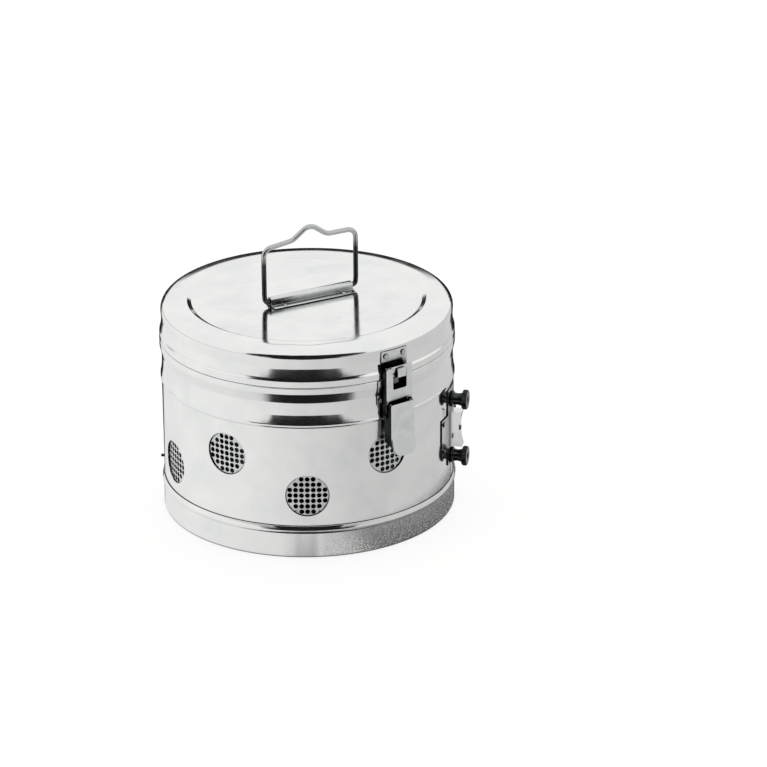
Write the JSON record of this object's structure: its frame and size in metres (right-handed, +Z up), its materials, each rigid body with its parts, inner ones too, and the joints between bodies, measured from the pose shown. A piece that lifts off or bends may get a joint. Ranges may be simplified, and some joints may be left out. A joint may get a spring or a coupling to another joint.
{
  "type": "surgical dressing drum",
  "caption": "Round steel drum for steam sterilizing, with hinged lid, draw latch, wire bail, turning vent band and a divider inside.",
  "frame": {"origin": "on the drum's axis, on the plane that its foot ring rests on", "axes": "+Z up along the drum's axis, latch at -Y, lid hinge at +Y, clasp of the vent band towards +X and -Y"},
  "size_m": [0.2942, 0.3187, 0.2912],
  "materials": {
    "mirror_sheet": "mirror polished",
    "satin_sheet": "satin",
    "punched_sheet": "punched and polished",
    "latch_sheet": "polished",
    "bright_wire": "drawn and polished",
    "turned_steel": "turned, knurled on the nuts' heads",
    "rivet_steel": "polished"
  },
  "bodies": {
    "drum": {"foot_ring": "mirror_sheet", "floor_pan": "satin_sheet", "collar": "mirror_sheet", "shell_wall": "satin_sheet", "vent_screens": "punched_sheet", "band_stop_pin": "turned_steel", "latch_bracket": "mirror_sheet", "bracket_rivets": "rivet_steel", "lever_pivots": "turned_steel", "hinge_body_leaf": "mirror_sheet", "hinge_body_rivets": "rivet_steel", "hinge_pin": "turned_steel", "divider_long": "satin_sheet", "divider_short": "satin_sheet", "divider_channels": "satin_sheet", "divider_centre_clip": "satin_sheet"},
    "lid": {"lid_pan": "mirror_sheet", "strike_plate": "mirror_sheet", "strike_rivets": "rivet_steel", "hinge_lid_leaf": "mirror_sheet", "hinge_lid_rivets": "rivet_steel", "bail_strap": "mirror_sheet", "strap_rivets": "rivet_steel"},
    "bail": {"wire_bail": "bright_wire"},
    "lever": {"latch_lever": "latch_sheet", "link_pin": "turned_steel"},
    "link": {"latch_link": "latch_sheet"},
    "band": {"shutter_band": "mirror_sheet", "clasp_plate": "mirror_sheet", "clasp_rivets": "rivet_steel", "clasp_studs": "turned_steel", "clasp_grip": "turned_steel", "grip_rivet": "rivet_steel"},
    "upper_nut": {"upper_thumb_nut": "turned_steel"},
    "lower_nut": {"lower_thumb_nut": "turned_steel"}
  },
  "joints": [
    {"name": "lid_open", "type": "hinge", "parent": "drum", "child": "lid", "pos_m": [0, 0.152, 0.1782], "axis": [-1, 0, 0], "range_deg": [0, 105]},
    {"name": "bail_turn", "type": "hinge", "parent": "lid", "child": "bail", "pos_m": [0, 0, 0.2182], "axis": [0.9919, -0.1271, 0], "range_deg": [-88, 88]},
    {"name": "lever_turn", "type": "hinge", "parent": "drum", "child": "lever", "pos_m": [0, -0.154, 0.1515], "axis": [-1, 0, 0], "range_deg": [0, 110]},
    {"name": "link_turn", "type": "hinge", "parent": "lever", "child": "link", "pos_m": [0, -0.1498, 0.1425], "axis": [-1, 0, 0], "range_deg": [-92, 0]},
    {"name": "band_turn", "type": "hinge", "parent": "drum", "child": "band", "pos_m": [0, 0, 0.085], "axis": [0, 0, 1], "range_deg": [0, 17]},
    {"name": "upper_nut_turn", "type": "hinge", "parent": "band", "child": "upper_nut", "pos_m": [0.09781, -0.11372, 0.119], "axis": [0.6521, -0.7581, 0], "range_deg": [0, 360]},
    {"name": "lower_nut_turn", "type": "hinge", "parent": "band", "child": "lower_nut", "pos_m": [0.09781, -0.11372, 0.0585], "axis": [0.6521, -0.7581, 0], "range_deg": [0, 360]}
  ],
  "couplings": [
    {"joint": "link_turn", "follows": "lever_turn", "ratio": -0.82}
  ]
}
